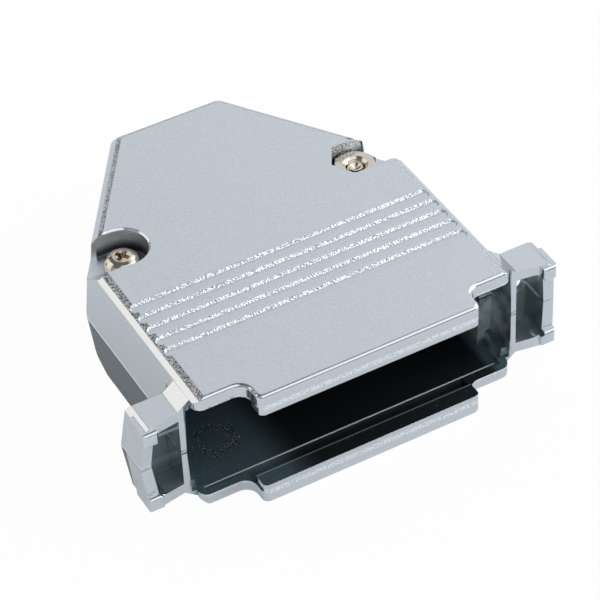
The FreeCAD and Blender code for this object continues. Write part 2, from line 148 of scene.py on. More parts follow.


# Bright nickel over moulded ABS is a cold, slightly blue mirror. On the broad
# faces a fine grain spreads each reflection, and at the grip grooves and round
# the top the plating has built up in small flecks that sparkle. Much of that
# sparkle, and the shade in the mouth, the pockets and on the far walls, is
# painted into the colour.
plating, tree, shader = start_material("nickel plated ABS")
place = add(tree, "ShaderNodeTexCoord").outputs["Object"]
spot = add(tree, "ShaderNodeSeparateXYZ", {0: place})
along = spot.outputs["Y"]
normal = add(tree, "ShaderNodeNewGeometry").outputs["True Normal"]
facing = add(tree, "ShaderNodeSeparateXYZ", {0: normal})
above = add(tree, "ShaderNodeMath", {0: spot.outputs["Z"], 1: PARTING}, operation="SUBTRACT").outputs[0]
half = add(tree, "ShaderNodeMath", {0: above}, operation="SIGN").outputs[0]
height = add(tree, "ShaderNodeMath", {0: above}, operation="ABSOLUTE").outputs[0]
across = add(tree, "ShaderNodeMath", {0: spot.outputs["X"]}, operation="ABSOLUTE").outputs[0]
level = add(tree, "ShaderNodeMath", {0: facing.outputs["Z"]}, operation="ABSOLUTE").outputs[0]
lengthwise = add(tree, "ShaderNodeMath", {0: facing.outputs["Y"]}, operation="ABSOLUTE").outputs[0]

# hollow: faces that look towards the hood's middle line, but not to the rear
lifted = add(tree, "ShaderNodeMath", {0: facing.outputs["Z"], 1: above}, operation="MULTIPLY").outputs[0]
outward = add(tree, "ShaderNodeMath", {0: facing.outputs["X"], 1: spot.outputs["X"], 2: lifted},
              operation="MULTIPLY_ADD").outputs[0]
hollow = add(tree, "ShaderNodeMath", {0: outward, 1: 1.5 * MM}, operation="LESS_THAN").outputs[0]
not_rear = add(tree, "ShaderNodeMath", {0: facing.outputs["Y"], 1: 0.6}, operation="LESS_THAN").outputs[0]
hollow = add(tree, "ShaderNodeMath", {0: hollow, 1: not_rear}, operation="MULTIPLY").outputs[0]

# textured: the top, the groove floors and the outer walls behind the ears
flat = add(tree, "ShaderNodeMath", {0: level, 1: 0.985}, operation="GREATER_THAN").outputs[0]
upright = add(tree, "ShaderNodeMath", {0: level, 1: 0.2}, operation="LESS_THAN").outputs[0]
behind_ears = add(tree, "ShaderNodeMath", {0: along, 1: EAR_BACK}, operation="GREATER_THAN").outputs[0]
wall = add(tree, "ShaderNodeMath", {0: upright, 1: behind_ears}, operation="MULTIPLY").outputs[0]
textured = add(tree, "ShaderNodeMath", {0: flat, 1: wall}, operation="MAXIMUM").outputs[0]

# pockets, by the distance from their screw or nut
screw_low, screw_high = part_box("case_screw_left")
screw_at = (screw_low + screw_high) / 2
off_x = add(tree, "ShaderNodeMath", {0: across, 1: abs(screw_at.x)}, operation="SUBTRACT").outputs[0]
off_y = add(tree, "ShaderNodeMath", {0: along, 1: screw_at.y}, operation="SUBTRACT").outputs[0]
off = add(tree, "ShaderNodeCombineXYZ", {0: off_x, 1: off_y}).outputs[0]
off = add(tree, "ShaderNodeVectorMath", {0: off}, operation="LENGTH").outputs["Value"]
high_up = add(tree, "ShaderNodeMath", {0: height, 1: POCKET_FLOOR}, operation="GREATER_THAN").outputs[0]
pocket = add(tree, "ShaderNodeMath", {0: off, 1: POCKET_REACH}, operation="LESS_THAN").outputs[0]
pocket = add(tree, "ShaderNodeMath", {0: pocket, 1: high_up}, operation="MULTIPLY").outputs[0]
around = add(tree, "ShaderNodeMath", {0: off, 1: POCKET_AREA}, operation="LESS_THAN").outputs[0]
around = add(tree, "ShaderNodeMath", {0: around, 1: high_up}, operation="MULTIPLY").outputs[0]
steep = add(tree, "ShaderNodeMath", {0: level, 1: 0.5}, operation="LESS_THAN").outputs[0]
pocket_wall = add(tree, "ShaderNodeMath", {0: pocket, 1: steep}, operation="MULTIPLY").outputs[0]

# the lip's front faces, with a rough ridge along them
to_front = add(tree, "ShaderNodeMath", {0: facing.outputs["Y"], 1: -0.1}, operation="LESS_THAN").outputs[0]
at_lip = add(tree, "ShaderNodeMath", {0: along, 1: LIP_BACK}, operation="LESS_THAN").outputs[0]
lip_face = add(tree, "ShaderNodeMath", {0: to_front, 1: at_lip}, operation="MULTIPLY").outputs[0]
from_ridge = add(tree, "ShaderNodeMath", {0: height, 1: LIP_RIDGE}, operation="SUBTRACT").outputs[0]
from_ridge = add(tree, "ShaderNodeMath", {0: from_ridge}, operation="ABSOLUTE").outputs[0]
ridge = add(tree, "ShaderNodeMapRange", {0: from_ridge, 1: RIDGE_FADE[0], 2: RIDGE_FADE[1], 3: 0.0, 4: 1.0},
            interpolation_type="SMOOTHSTEP").outputs[0]
ridge = add(tree, "ShaderNodeMath", {0: ridge, 1: lip_face}, operation="MULTIPLY").outputs[0]

# the groove walls and the shallow bevel round the top
edge = add(tree, "ShaderNodeMath", {0: height, 1: GROOVE_FLOOR}, operation="GREATER_THAN").outputs[0]
under_top = add(tree, "ShaderNodeMath", {0: height, 1: GROOVE_TOP}, operation="LESS_THAN").outputs[0]
sloping = add(tree, "ShaderNodeMath", {0: level, 1: 0.99}, operation="LESS_THAN").outputs[0]
for mask in (under_top, sloping):
    edge = add(tree, "ShaderNodeMath", {0: edge, 1: mask}, operation="MULTIPLY").outputs[0]
for mask in (lip_face, pocket):
    edge = add(tree, "ShaderNodeMath", {0: edge, 1: mask}, operation="SUBTRACT", use_clamp=True).outputs[0]

# flecked: those edges, the ridge and, less, the pocket walls
under_rim = add(tree, "ShaderNodeMath", {0: height, 1: GROOVE_FLOOR}, operation="LESS_THAN").outputs[0]
speckled = add(tree, "ShaderNodeMath", {0: pocket_wall, 1: under_rim}, operation="MULTIPLY").outputs[0]
flecked = add(tree, "ShaderNodeMath", {0: edge, 1: ridge}, operation="MAXIMUM").outputs[0]
flecked = add(tree, "ShaderNodeMath", {0: speckled, 1: 0.7, 2: flecked}, operation="MULTIPLY_ADD").outputs[0]

# the ear windows, less and less plated towards the back
window = add(tree, "ShaderNodeMapRange", {0: along, 1: WINDOW_DEPTH[0], 2: WINDOW_DEPTH[1], 3: 0.0, 4: 0.8},
             interpolation_type="SMOOTHSTEP").outputs[0]
outboard = add(tree, "ShaderNodeMath", {0: across, 1: INNER_HALF}, operation="GREATER_THAN").outputs[0]
in_ear = add(tree, "ShaderNodeMath", {0: across, 1: EAR_WALL_OUTSIDE}, operation="LESS_THAN").outputs[0]
low_down = add(tree, "ShaderNodeMath", {0: height, 1: WINDOW_ROOF}, operation="LESS_THAN").outputs[0]
for mask in (outboard, in_ear, low_down, hollow):
    window = add(tree, "ShaderNodeMath", {0: window, 1: mask}, operation="MULTIPLY").outputs[0]

# inside: the mouth and the wire space behind it, and the windows, with thinner plating and painted shade
inside = add(tree, "ShaderNodeMath", {0: across, 1: INNER_HALF}, operation="LESS_THAN").outputs[0]
under_roof = add(tree, "ShaderNodeMath", {0: height, 1: ROOF_INSIDE}, operation="LESS_THAN").outputs[0]
past_rim = add(tree, "ShaderNodeMath", {0: along, 1: MOUTH_RIM}, operation="GREATER_THAN").outputs[0]
for mask in (under_roof, past_rim):
    inside = add(tree, "ShaderNodeMath", {0: inside, 1: mask}, operation="MULTIPLY").outputs[0]
for mask in (around, lip_face):
    inside = add(tree, "ShaderNodeMath", {0: inside, 1: mask}, operation="SUBTRACT",
                 use_clamp=True).outputs[0]
inside = add(tree, "ShaderNodeMath", {0: inside, 1: window}, operation="MAXIMUM").outputs[0]
inside = add(tree, "ShaderNodeMath", {0: inside, 1: hollow}, operation="MULTIPLY").outputs[0]

# the seam of the two halves: outside, a painted highlight on the flash line over a dark gap
seam = add(tree, "ShaderNodeMapRange", {0: height, 1: FLASH_LINE[0], 2: FLASH_LINE[1], 3: 0.0, 4: 1.0},
           interpolation_type="SMOOTHSTEP").outputs[0]
upper = add(tree, "ShaderNodeMath", {0: above, 1: 0.0}, operation="GREATER_THAN").outputs[0]
flash_highlight = seam
for mask in (wall, upper):
    flash_highlight = add(tree, "ShaderNodeMath", {0: flash_highlight, 1: mask}, operation="MULTIPLY").outputs[0]
gap = add(tree, "ShaderNodeMapRange", {0: height, 1: GAP_LINE[0], 2: GAP_LINE[1], 3: 0.0, 4: 1.0}).outputs[0]
gap = add(tree, "ShaderNodeMath", {0: gap, 1: wall}, operation="MULTIPLY").outputs[0]
gap = add(tree, "ShaderNodeMath", {0: gap, 1: upper}, operation="SUBTRACT", use_clamp=True).outputs[0]

# painted highlight lines: the seam in the windows, the inner floor's front edge, the lip's rear edge and the
# flash line
highlight_lines = add(tree, "ShaderNodeMath", {0: seam, 1: window}, operation="MULTIPLY").outputs[0]
under_slot = add(tree, "ShaderNodeMath", {0: height, 1: SLOT_FLOOR}, operation="LESS_THAN").outputs[0]
on_ledge = add(tree, "ShaderNodeMath", {0: across, 1: LEDGE_HALF}, operation="LESS_THAN").outputs[0]
for span, strength in ((LEDGE, 0.9), (RIM_EDGE, 0.35)):
    line = add(tree, "ShaderNodeMath", {0: along, 1: span[0]}, operation="GREATER_THAN").outputs[0]
    before = add(tree, "ShaderNodeMath", {0: along, 1: span[1]}, operation="LESS_THAN").outputs[0]
    for mask in (before, high_up, under_slot, on_ledge):
        line = add(tree, "ShaderNodeMath", {0: line, 1: mask}, operation="MULTIPLY").outputs[0]
    highlight_lines = add(tree, "ShaderNodeMath", {0: line, 1: strength, 2: highlight_lines}, operation="MULTIPLY_ADD").outputs[0]
highlight_lines = add(tree, "ShaderNodeMath", {0: highlight_lines, 1: hollow}, operation="MULTIPLY", use_clamp=True).outputs[0]
highlight_lines = add(tree, "ShaderNodeMath", {0: highlight_lines, 1: flash_highlight}, operation="MAXIMUM").outputs[0]

# dull: the end of each moulding where the plating is thin, and both end walls of the mouth;
# inside, its lighter colour also paints light onto the shade there
end = add(tree, "ShaderNodeMath", {0: spot.outputs["X"], 1: half}, operation="MULTIPLY").outputs[0]
far_end = add(tree, "ShaderNodeMath", {0: end, 1: 0.0}, operation="GREATER_THAN").outputs[0]
at_end = add(tree, "ShaderNodeMapRange", {0: across, 1: END_WALL[0], 2: END_WALL[1]}).outputs[0]
dull = add(tree, "ShaderNodeMapRange", {0: end, 1: DULL_FROM[0], 2: DULL_FROM[1]},
           interpolation_type="SMOOTHSTEP").outputs[0]
dull = add(tree, "ShaderNodeMath", {0: dull, 1: at_end}, operation="MAXIMUM").outputs[0]
dull = add(tree, "ShaderNodeMath", {0: dull, 1: inside}, operation="MULTIPLY").outputs[0]
dull = add(tree, "ShaderNodeMath", {0: dull, 1: window}, operation="SUBTRACT", use_clamp=True).outputs[0]
# the outer wall at that end of each moulding: painted shade
shaded_wall = add(tree, "ShaderNodeMath", {0: far_end, 1: wall}, operation="MULTIPLY").outputs[0]
shaded_wall = add(tree, "ShaderNodeMath", {0: shaded_wall, 1: inside}, operation="SUBTRACT",
                use_clamp=True).outputs[0]

# the four patterns
grain = add(tree, "ShaderNodeTexNoise", {"Vector": place, "Scale": 1 / GRAIN, "Detail": 2.0,
                                         "Roughness": 0.6}).outputs[0]
peel = add(tree, "ShaderNodeTexNoise", {"Vector": place, "Scale": 1 / ORANGE_PEEL, "Detail": 1.0}).outputs[0]
fleck = add(tree, "ShaderNodeTexNoise", {"Vector": place, "Scale": 1 / FLECK, "Detail": 2.0,
                                         "Roughness": 0.7}).outputs[0]
cloud = add(tree, "ShaderNodeTexNoise", {"Vector": place, "Scale": 1 / REFLECTION_CLOUD, "Detail": 2.0}).outputs[0]

# the pins' marks on the inner floor, each a ragged ring
from_x = add(tree, "ShaderNodeMath", {0: across, 1: PIN_PLACE[0]}, operation="SUBTRACT").outputs[0]
from_y = add(tree, "ShaderNodeMath", {0: along, 1: PIN_PLACE[1]}, operation="SUBTRACT").outputs[0]
pin_at = add(tree, "ShaderNodeCombineXYZ", {0: from_x, 1: from_y}).outputs[0]
pin_way = add(tree, "ShaderNodeVectorMath", {0: pin_at}, operation="LENGTH").outputs["Value"]
pin_way = add(tree, "ShaderNodeMath", {0: pin_way, 1: PIN_RADIUS + PIN_STRAY / 2},
              operation="SUBTRACT").outputs[0]
pin_way = add(tree, "ShaderNodeMath", {0: peel, 1: PIN_STRAY, 2: pin_way},
              operation="MULTIPLY_ADD").outputs[0]
pin_way = add(tree, "ShaderNodeMath", {0: pin_way}, operation="ABSOLUTE").outputs[0]
pin_ring = add(tree, "ShaderNodeMapRange", {0: pin_way, 1: PIN_FADE[0], 2: PIN_FADE[1], 3: 0.12, 4: 1.0},
               interpolation_type="SMOOTHSTEP").outputs[0]
pin_ring = add(tree, "ShaderNodeMath", {0: pin_ring, 1: dull}, operation="MULTIPLY").outputs[0]
pin_line = add(tree, "ShaderNodeMapRange", {0: pin_way, 1: PIN_LINE[0], 2: PIN_LINE[1],
                                            3: 0.0, 4: 0.6}).outputs[0]
pin_line = add(tree, "ShaderNodeMath", {0: pin_line, 1: dull}, operation="MULTIPLY").outputs[0]

# relief: grain, orange peel, flecks and the raised flash line
depth = add(tree, "ShaderNodeMapRange", {0: textured, 3: GRAIN_RELIEF[0], 4: GRAIN_RELIEF[1]}).outputs[0]
relief = add(tree, "ShaderNodeMath", {0: grain, 1: depth}, operation="MULTIPLY").outputs[0]
depth = add(tree, "ShaderNodeMath", {0: dull, 1: PEEL_RELIEF}, operation="ADD").outputs[0]
relief = add(tree, "ShaderNodeMath", {0: peel, 1: depth, 2: relief}, operation="MULTIPLY_ADD").outputs[0]
depth = add(tree, "ShaderNodeMath", {0: flecked, 1: FLECK_RELIEF}, operation="MULTIPLY").outputs[0]
uneven = add(tree, "ShaderNodeMath", {0: fleck, 1: 0.5}, operation="SUBTRACT").outputs[0]
relief = add(tree, "ShaderNodeMath", {0: uneven, 1: depth, 2: relief}, operation="MULTIPLY_ADD").outputs[0]
relief = add(tree, "ShaderNodeMath", {0: seam, 1: FLASH_RELIEF, 2: relief},
             operation="MULTIPLY_ADD").outputs[0]
soft_edge = add(tree, "ShaderNodeBevel", {"Radius": SOFT_CORNER}, samples=6).outputs[0]
bump = add(tree, "ShaderNodeBump", {"Strength": 0.35, "Distance": BUMP_STEP, "Height": relief,
                                    "Normal": soft_edge})

# painted shade between the flecks: mostly on the bevel, not at its far end or behind
shade_spots = add(tree, "ShaderNodeMapRange", {0: fleck, 1: SHADE_SPOTS[0], 2: SHADE_SPOTS[1], 3: 0.0, 4: 0.7}).outputs[0]
on_bevel = add(tree, "ShaderNodeMapRange", {0: far_end, 3: 1.1, 4: 0.1}).outputs[0]
share = add(tree, "ShaderNodeMapRange", {0: lengthwise, 1: 0.3, 2: 0.5, 3: on_bevel, 4: 0.75}).outputs[0]
not_behind = add(tree, "ShaderNodeMath", {0: facing.outputs["Y"], 1: 0.2}, operation="LESS_THAN").outputs[0]
for mask in (edge, share, not_behind):
    shade_spots = add(tree, "ShaderNodeMath", {0: shade_spots, 1: mask}, operation="MULTIPLY").outputs[0]

# dark: painted shade between the flecks and at the pockets' foot, the pits and line of a pin's mark, and the
# gap
marks_and_shade = add(tree, "ShaderNodeMapRange", {0: height, 1: POCKET_SHADE[0], 2: POCKET_SHADE[1], 3: 0.0, 4: 0.95},
           interpolation_type="SMOOTHSTEP").outputs[0]
marks_and_shade = add(tree, "ShaderNodeMath", {0: marks_and_shade, 1: pocket_wall}, operation="MULTIPLY").outputs[0]
pits = add(tree, "ShaderNodeMapRange", {0: fleck, 1: PITS[0], 2: PITS[1]}).outputs[0]
pits = add(tree, "ShaderNodeMath", {0: pits, 1: pin_ring}, operation="MULTIPLY").outputs[0]
for mask in (pits, pin_line, shade_spots, gap):
    marks_and_shade = add(tree, "ShaderNodeMath", {0: marks_and_shade, 1: mask}, operation="MAXIMUM").outputs[0]

# painted glints: the highlight lines, specks in a pin's mark and inside, on the ridge and high on a nut's
# pocket walls
painted_glints = add(tree, "ShaderNodeMapRange", {0: fleck, 1: GLINT_SPECKS[0], 2: GLINT_SPECKS[1], 3: 0.0, 4: 0.7}).outputs[0]
painted_glints = add(tree, "ShaderNodeMath", {0: painted_glints, 1: pin_ring, 2: highlight_lines}, operation="MULTIPLY_ADD").outputs[0]
stray_glints = add(tree, "ShaderNodeMapRange", {0: fleck, 1: STRAY_GLINTS[0], 2: STRAY_GLINTS[1], 3: 0.0, 4: 0.7}).outputs[0]
dim = add(tree, "ShaderNodeMath", {0: inside, 1: pocket_wall}, operation="MAXIMUM").outputs[0]
stray_glints = add(tree, "ShaderNodeMath", {0: stray_glints, 1: dim}, operation="MULTIPLY").outputs[0]
ridge_glints = add(tree, "ShaderNodeMapRange", {0: fleck, 1: RIDGE_GLINTS[0], 2: RIDGE_GLINTS[1]}).outputs[0]
ridge_glints = add(tree, "ShaderNodeMath", {0: ridge_glints, 1: ridge}, operation="MULTIPLY").outputs[0]
pocket_glints = add(tree, "ShaderNodeMapRange", {0: height, 1: POCKET_GLINT_BAND[0], 2: POCKET_GLINT_BAND[1],
                                         3: 0.0, 4: 0.85}).outputs[0]
pocket_glint_spots = add(tree, "ShaderNodeMapRange", {0: fleck, 1: POCKET_GLINT_SPOTS[0], 2: POCKET_GLINT_SPOTS[1]}).outputs[0]
for mask in (pocket_wall, far_end, pocket_glint_spots):
    pocket_glints = add(tree, "ShaderNodeMath", {0: pocket_glints, 1: mask}, operation="MULTIPLY").outputs[0]
for mask in (stray_glints, pocket_glints, ridge_glints):
    painted_glints = add(tree, "ShaderNodeMath", {0: painted_glints, 1: mask}, operation="MAXIMUM").outputs[0]

# painted cloudy reflections on the end walls of the mouth
end_wall_reflection = add(tree, "ShaderNodeMapRange", {0: cloud, 1: 0.38, 2: 0.6, 3: 0.1, 4: 0.85}).outputs[0]
for mask in (at_end, steep, dull):
    end_wall_reflection = add(tree, "ShaderNodeMath", {0: end_wall_reflection, 1: mask}, operation="MULTIPLY").outputs[0]

# the colours, each over the one before: painted shade inside, the windows' tint, the dull
# ends lighter, painted reflections on the end walls, painted shade on the far outer walls,
# dark marks with painted shade, and painted glints
colour = add(tree, "ShaderNodeMix", {0: grain, 6: srgb("#C3C9CF"), 7: srgb("#DFE3E7")},
             data_type="RGBA").outputs[2]
for mask, shade in ((inside, "#3A4346"), (window, "#98A7A8"), (dull, "#516870"), (end_wall_reflection, "#C9D4D8"),
                    (shaded_wall, "#606A74"), (marks_and_shade, "#14171A"), (painted_glints, "#F2F4F5")):
    colour = add(tree, "ShaderNodeMix", {0: mask, 6: colour, 7: srgb(shade)}, data_type="RGBA").outputs[2]

# the plating is rougher on the texture and inside, and half metallic where it is dull and under the painted
# glints, but not on the flash line's highlight
gloss = add(tree, "ShaderNodeMapRange", {0: textured, 3: 0.12, 4: 0.32}).outputs[0]
for mask, rougher in ((inside, 0.2), (window, 0.25)):
    gloss = add(tree, "ShaderNodeMath", {0: mask, 1: rougher, 2: gloss}, operation="MULTIPLY_ADD").outputs[0]
thin_plating_and_glints = add(tree, "ShaderNodeMath", {0: dull, 1: painted_glints}, operation="MAXIMUM").outputs[0]
thin_plating_and_glints = add(tree, "ShaderNodeMath", {0: thin_plating_and_glints, 1: flash_highlight}, operation="SUBTRACT", use_clamp=True).outputs[0]
metal = add(tree, "ShaderNodeMapRange", {0: thin_plating_and_glints, 3: 1.0, 4: 0.5}).outputs[0]
tree.links.new(metal, shader.inputs["Metallic"])
tree.links.new(bump.outputs[0], shader.inputs["Normal"])
tree.links.new(colour, shader.inputs["Base Color"])
tree.links.new(gloss, shader.inputs["Roughness"])
for name in ("upper_shell", "lower_shell"):
    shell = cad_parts[name]
    shell.data.materials.clear()
    shell.data.materials.append(plating)

# Two 4-40 pan-head screws hold the halves together, one from above on the left
# and one from below on the right. They are headed and rolled from steel wire,
# then nickel plated, and stand in the round pockets.
RING_STEPS = 48

# the rolled thread in mm
THREAD_PITCH = 0.635
THREAD_DEPTH = 0.3
THREADED = 5.0

# the power that curves the dome, and the cross: its length at top and foot and its
# width in radii of the head, its depth in heights of it and its turn in degrees
DOME = 3.0
CROSS_TOP = 0.62
CROSS_FOOT = 0.2
CROSS_WIDTH = 0.125
CROSS_DEPTH = 0.62
CROSS_TURN = 35.0


def turned(profile):
    """A closed body in mm, spun round Z from a profile of (radius, height) points."""
    body = bmesh.new()
    points = [body.verts.new((radius, 0.0, z)) for radius, z in profile]
    edges = [body.edges.new(pair) for pair in zip(points, points[1:])]
    bmesh.ops.spin(body, geom=points + edges, axis=(0, 0, 1), cent=(0, 0, 0), angle=math.tau,
                   steps=RING_STEPS, use_merge=True)
    bmesh.ops.remove_doubles(body, verts=body.verts, dist=0.001)
    bmesh.ops.recalc_face_normals(body, faces=body.faces)
    return body


def whole(name, body):
    """An object with the bmesh as its mesh, still in mm."""
    mesh = bpy.data.meshes.new(name)
    body.to_mesh(mesh)
    body.free()
    piece = bpy.data.objects.new(name, mesh)
    bpy.context.scene.collection.objects.link(piece)
    return piece


def cut(piece, tool, operation):
    """Change the piece by a second body, which is used up."""
    change = piece.modifiers.new("cut", "BOOLEAN")
    change.object = tool
    change.operation = operation
    change.solver = "EXACT"
    bpy.context.view_layer.update()
    done = bpy.data.meshes.new_from_object(piece.evaluated_get(bpy.context.evaluated_depsgraph_get()))
    piece.modifiers.clear()
    piece.data = done
    bpy.data.objects.remove(tool)


def fit(piece, node, foot, upside_down, material):
    """Put a piece drawn in mm where its node is, and let it stand for that node."""
    flip = Matrix.Rotation(math.pi, 4, "Y") if upside_down else Matrix.Identity(4)
    low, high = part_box(node)
    middle = (low + high) / 2
    piece.data.transform(Matrix.Translation((middle.x, middle.y, foot)) @ flip @ Matrix.Scale(MM, 4))
    for face in piece.data.polygons:
        face.use_smooth = False
    piece.data.materials.clear()
    piece.data.materials.append(material)
    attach(piece, "root")
    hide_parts(node)


def pan_head_screw(name, head_radius, head_height, shank_radius, length):
    """A screw in mm with its seat at z 0, a cross recess and a rolled thread with a dished end."""
    profile = [(0, head_height)]
    for across_head in (0.3, 0.5, 0.68, 0.82, 0.92, 0.98, 0.999):
        profile.append((across_head * head_radius, (1 - across_head ** DOME) ** (1 / DOME) * head_height))
    profile += [(head_radius, 0.05 * head_height), (0.97 * head_radius, 0)]
    profile += [(shank_radius, 0), (shank_radius, THREADED - length)]
    root = shank_radius - THREAD_DEPTH
    for turn in range(int((THREADED - 0.5) / THREAD_PITCH)):
        z = THREADED - length - turn * THREAD_PITCH
        profile += [(root, z - 0.3 * THREAD_PITCH), (root, z - 0.45 * THREAD_PITCH),
                    (shank_radius, z - 0.8 * THREAD_PITCH)]
    dish = shank_radius - 0.55
    profile += [(root, -length), (dish, -length), (0, 0.55 - length)]
    screw = whole(name, turned(profile))
    for angle in (CROSS_TURN, CROSS_TURN + 90.0):
        arm = bmesh.new()
        bmesh.ops.create_cube(arm, size=2.0)
        for corner in arm.verts:
            spread = CROSS_TOP if corner.co.z > 0 else CROSS_FOOT
            corner.co = (corner.co.x * spread * head_radius, corner.co.y * CROSS_WIDTH * head_radius,
                         head_height * (1.0 + CROSS_DEPTH * corner.co.z))
        bmesh.ops.rotate(arm, verts=arm.verts, cent=(0, 0, 0),
                         matrix=Matrix.Rotation(math.radians(angle), 3, "Z"))
        cut(screw, whole("arm", arm), "DIFFERENCE")
    pit = bmesh.new()
    bmesh.ops.create_cone(pit, cap_ends=True, segments=24, radius1=0.05 * head_radius,
                          radius2=0.3 * head_radius, depth=0.8 * head_height,
                          matrix=Matrix.Translation((0, 0, 0.84 * head_height)))
    cut(screw, whole("pit", pit), "DIFFERENCE")
    return screw


# Nickel on steel is warmer than the shells' plating. The marks that tumbling in
# the plating barrel leaves are some 0.5 mm across, and break the reflections up.
BARREL_MARK = 0.5 * MM
MARK_DEPTH = 0.03 * MM
TUMBLED_CORNER = 0.08 * MM
nickel, tree, shader = start_material("nickel plated steel")
place = add(tree, "ShaderNodeTexCoord").outputs["Object"]
marks = add(tree, "ShaderNodeTexNoise", {"Vector": place, "Scale": 1 / BARREL_MARK, "Detail": 3.0,
                                         "Roughness": 0.6}).outputs[0]
tint = add(tree, "ShaderNodeMix", {0: marks, 6: srgb("#BDB1A0"), 7: srgb("#E6E0D6")}, data_type="RGBA")
worn = add(tree, "ShaderNodeMapRange", {0: marks, 3: 0.04, 4: 0.2}).outputs[0]
soft_edge = add(tree, "ShaderNodeBevel", {"Radius": TUMBLED_CORNER}, samples=6).outputs[0]
bump = add(tree, "ShaderNodeBump", {"Strength": 0.3, "Distance": MARK_DEPTH, "Height": marks,
                                    "Normal": soft_edge})
tree.links.new(tint.outputs[2], shader.inputs["Base Color"])
tree.links.new(worn, shader.inputs["Roughness"])
tree.links.new(bump.outputs[0], shader.inputs["Normal"])
shader.inputs["Metallic"].default_value = 1.0

CASE_HEAD = 2.4
CASE_SHANK = 1.42
low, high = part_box("case_screw_left")
case_length = (high.z - low.z) / MM - CASE_HEAD
for node, foot, upside_down in (("case_screw_left", high.z - CASE_HEAD * MM, False),
                                ("case_screw_right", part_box("case_screw_right")[0].z + CASE_HEAD * MM, True)):
    screw = pan_head_screw("pan_head_" + node, (high.x - low.x) / MM / 2, CASE_HEAD, CASE_SHANK, case_length)
    fit(screw, node, foot, upside_down, nickel)

# Their nuts are stamped from steel strip and tapped, with a crowned upper face
# and a countersink, and drop into the hexagonal pockets.
TAP_DEPTH = 0.22
COUNTERSINK = 0.35


def hex_nut(name, flats, thick, bore):
    """A nut in mm on z 0, its corners crowned, its hole countersunk and tapped."""
    corner = flats / math.sqrt(3)
    profile = [(bore + 0.35, 0), (corner + 0.1, 0), (corner + 0.1, 0.84 * thick), (flats / 2 - 0.1, thick),
               (bore + 0.45, thick), (bore, thick - COUNTERSINK)]
    for turn in range(int((thick - 0.8) / THREAD_PITCH)):
        z = thick - COUNTERSINK - turn * THREAD_PITCH
        profile += [(bore + TAP_DEPTH, z - 0.4 * THREAD_PITCH), (bore, z - 0.85 * THREAD_PITCH)]
    profile += [(bore, 0.3), profile[0]]
    nut = whole(name, turned(profile))
    block = bmesh.new()
    bmesh.ops.create_cone(block, cap_ends=True, segments=6, radius1=corner, radius2=corner, depth=4 * thick,
                          matrix=Matrix.Rotation(math.radians(30), 4, "Z"))
    cut(nut, whole("block", block), "INTERSECT")
    return nut


NUT_THICK = 2.4
NUT_BORE = 1.52
nut_low, nut_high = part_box("case_nut_right")
for node, foot, upside_down in (("case_nut_right", nut_low.z, False),
                                ("case_nut_left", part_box("case_nut_left")[1].z, True)):
    nut = hex_nut("pressed_" + node, (nut_high.y - nut_low.y) / MM, NUT_THICK, NUT_BORE)
    fit(nut, node, foot, upside_down, nickel)

# The cable clamp is two saddles bent from zinc plated steel strip, pressed
# together over the cable between ribs of the shells.
ROLLING = 0.12 * MM
ROLLING_DEPTH = 0.02 * MM
ZINC_CLOUD = 3.0 * MM

# Zinc is a softer and greyer mirror than nickel, faintly clouded. The strip's
# rolling lines show through it, about 0.12 mm apart and a dozen times as long.
strip, tree, shader = start_material("zinc plated strip steel")
place = add(tree, "ShaderNodeTexCoord").outputs["Object"]
drawn = add(tree, "ShaderNodeVectorMath", {0: place, 1: (0.08, 1.0, 1.0)}, operation="MULTIPLY").outputs[0]
rolled = add(tree, "ShaderNodeTexNoise", {"Vector": drawn, "Scale": 1 / ROLLING, "Detail": 2.0}).outputs[0]
cloud = add(tree, "ShaderNodeTexNoise", {"Vector": place, "Scale": 1 / ZINC_CLOUD, "Detail": 2.0}).outputs[0]
tint = add(tree, "ShaderNodeMix", {0: cloud, 6: srgb("#B3B7BA"), 7: srgb("#CBCDC9")}, data_type="RGBA")
worn = add(tree, "ShaderNodeMapRange", {0: rolled, 3: 0.28, 4: 0.45}).outputs[0]
bump = add(tree, "ShaderNodeBump", {"Strength": 0.25, "Distance": ROLLING_DEPTH, "Height": rolled})
tree.links.new(tint.outputs[2], shader.inputs["Base Color"])
tree.links.new(worn, shader.inputs["Roughness"])
tree.links.new(bump.outputs[0], shader.inputs["Normal"])
shader.inputs["Metallic"].default_value = 1.0
for name in ("cable_clamp_upper", "cable_clamp_lower"):
    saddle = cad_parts[name]
    saddle.data.materials.clear()
    saddle.data.materials.append(strip)

# Two M2.5 screws with nuts draw the saddles together. They are the same kind as
# the case screws, only smaller.
CLAMP_HEAD = 1.7
CLAMP_SHANK = 1.2
CLAMP_BORE = 1.3
for side in ("left", "right"):
    low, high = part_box("clamp_screw_" + side)
    screw = pan_head_screw("pan_head_clamp_screw_" + side, (high.x - low.x) / MM / 2, CLAMP_HEAD, CLAMP_SHANK,
                           (high.z - low.z) / MM - CLAMP_HEAD)
    fit(screw, "clamp_screw_" + side, high.z - CLAMP_HEAD * MM, False, nickel)
    low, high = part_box("clamp_nut_" + side)
    nut = hex_nut("pressed_clamp_nut_" + side, (high.y - low.y) / MM, (high.z - low.z) / MM, CLAMP_BORE)
    fit(nut, "clamp_nut_" + side, high.z, True, nickel)

